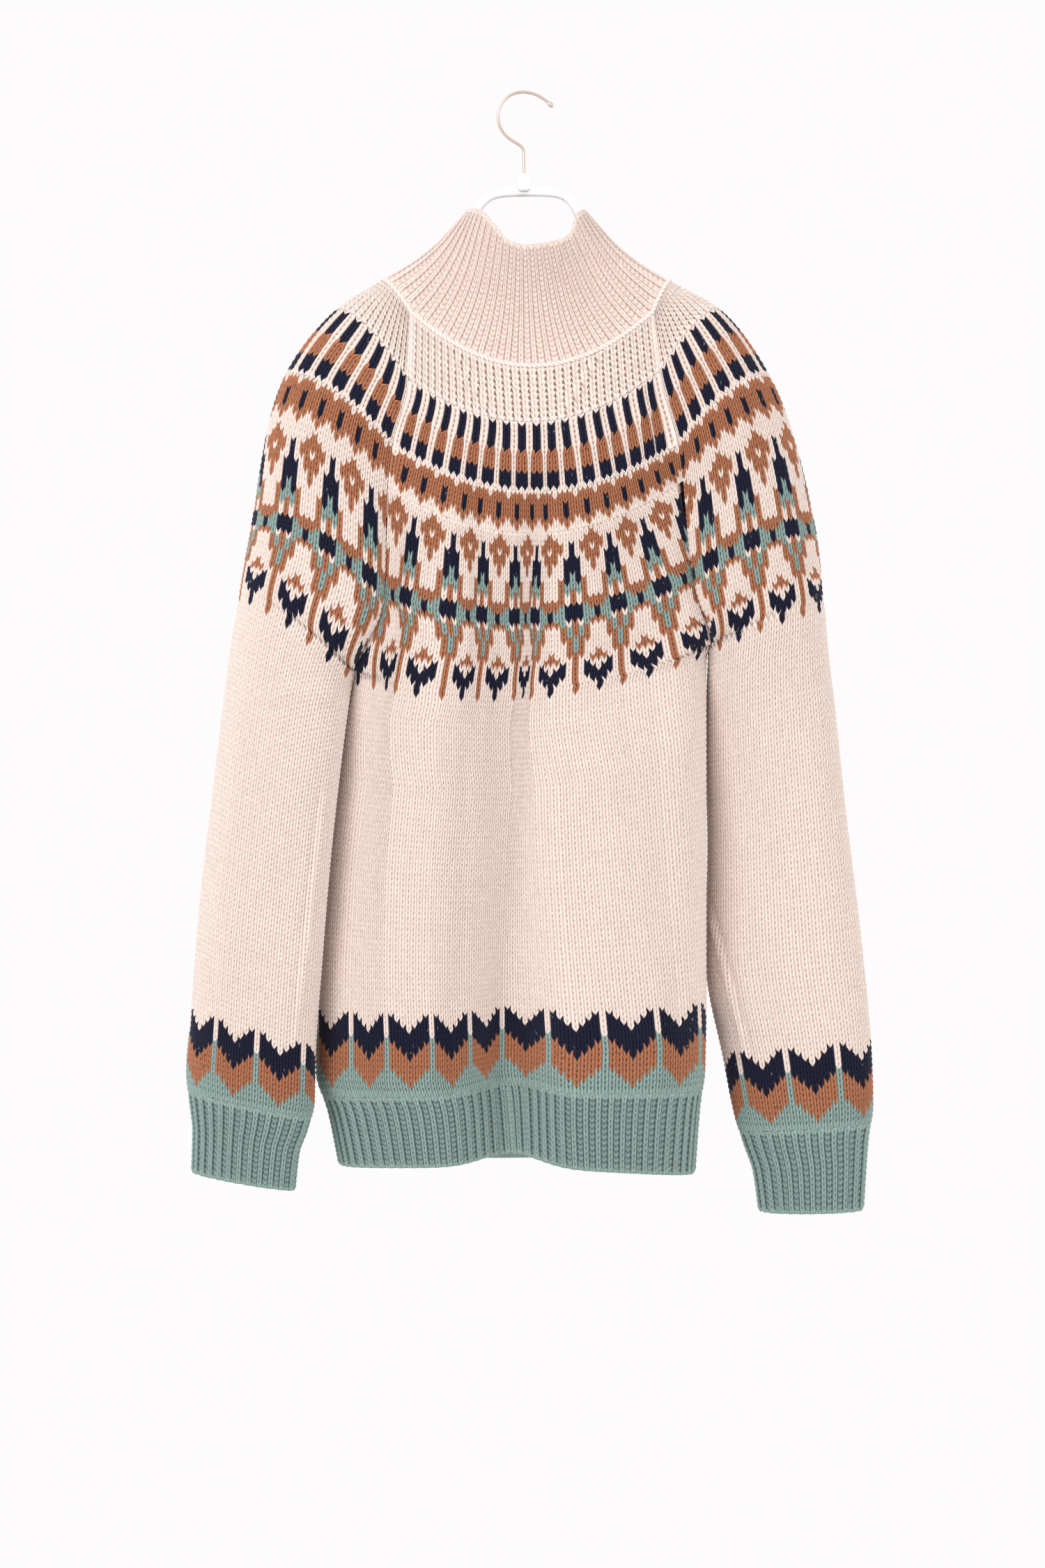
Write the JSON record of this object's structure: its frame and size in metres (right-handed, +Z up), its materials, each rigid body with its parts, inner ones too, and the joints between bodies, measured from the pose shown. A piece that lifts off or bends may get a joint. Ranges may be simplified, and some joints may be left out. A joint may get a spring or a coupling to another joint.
{
  "type": "fair isle jumper on a hanger",
  "caption": "Knitted raglan jumper with a ribbed funnel neck, long sleeves and a patterned yoke, hem and cuffs, hanging on a moulded hanger with a wire hook.",
  "frame": {"origin": "the inner top of the hook, where the rail that holds it up bears", "axes": "+Z up along the hanging jumper, -Y towards the jumper's front, +X towards its right sleeve as seen from the front"},
  "size_m": [0.5693, 0.1378, 0.9334],
  "materials": {
    "wool": "oatmeal hand-knitted wool with navy, rust brown and sage bands of stranded pattern",
    "hanger_plastic": "white, smooth, softly glossy",
    "hook_wire": "pale rose-tinted nickel wire"
  },
  "bodies": {
    "root": {"front": "wool", "back": "wool", "sleeve_left": "wool", "sleeve_right": "wool", "collar": "wool", "hanger_frame": "hanger_plastic", "hanger_hook": "hook_wire"}
  },
  "joints": []
}
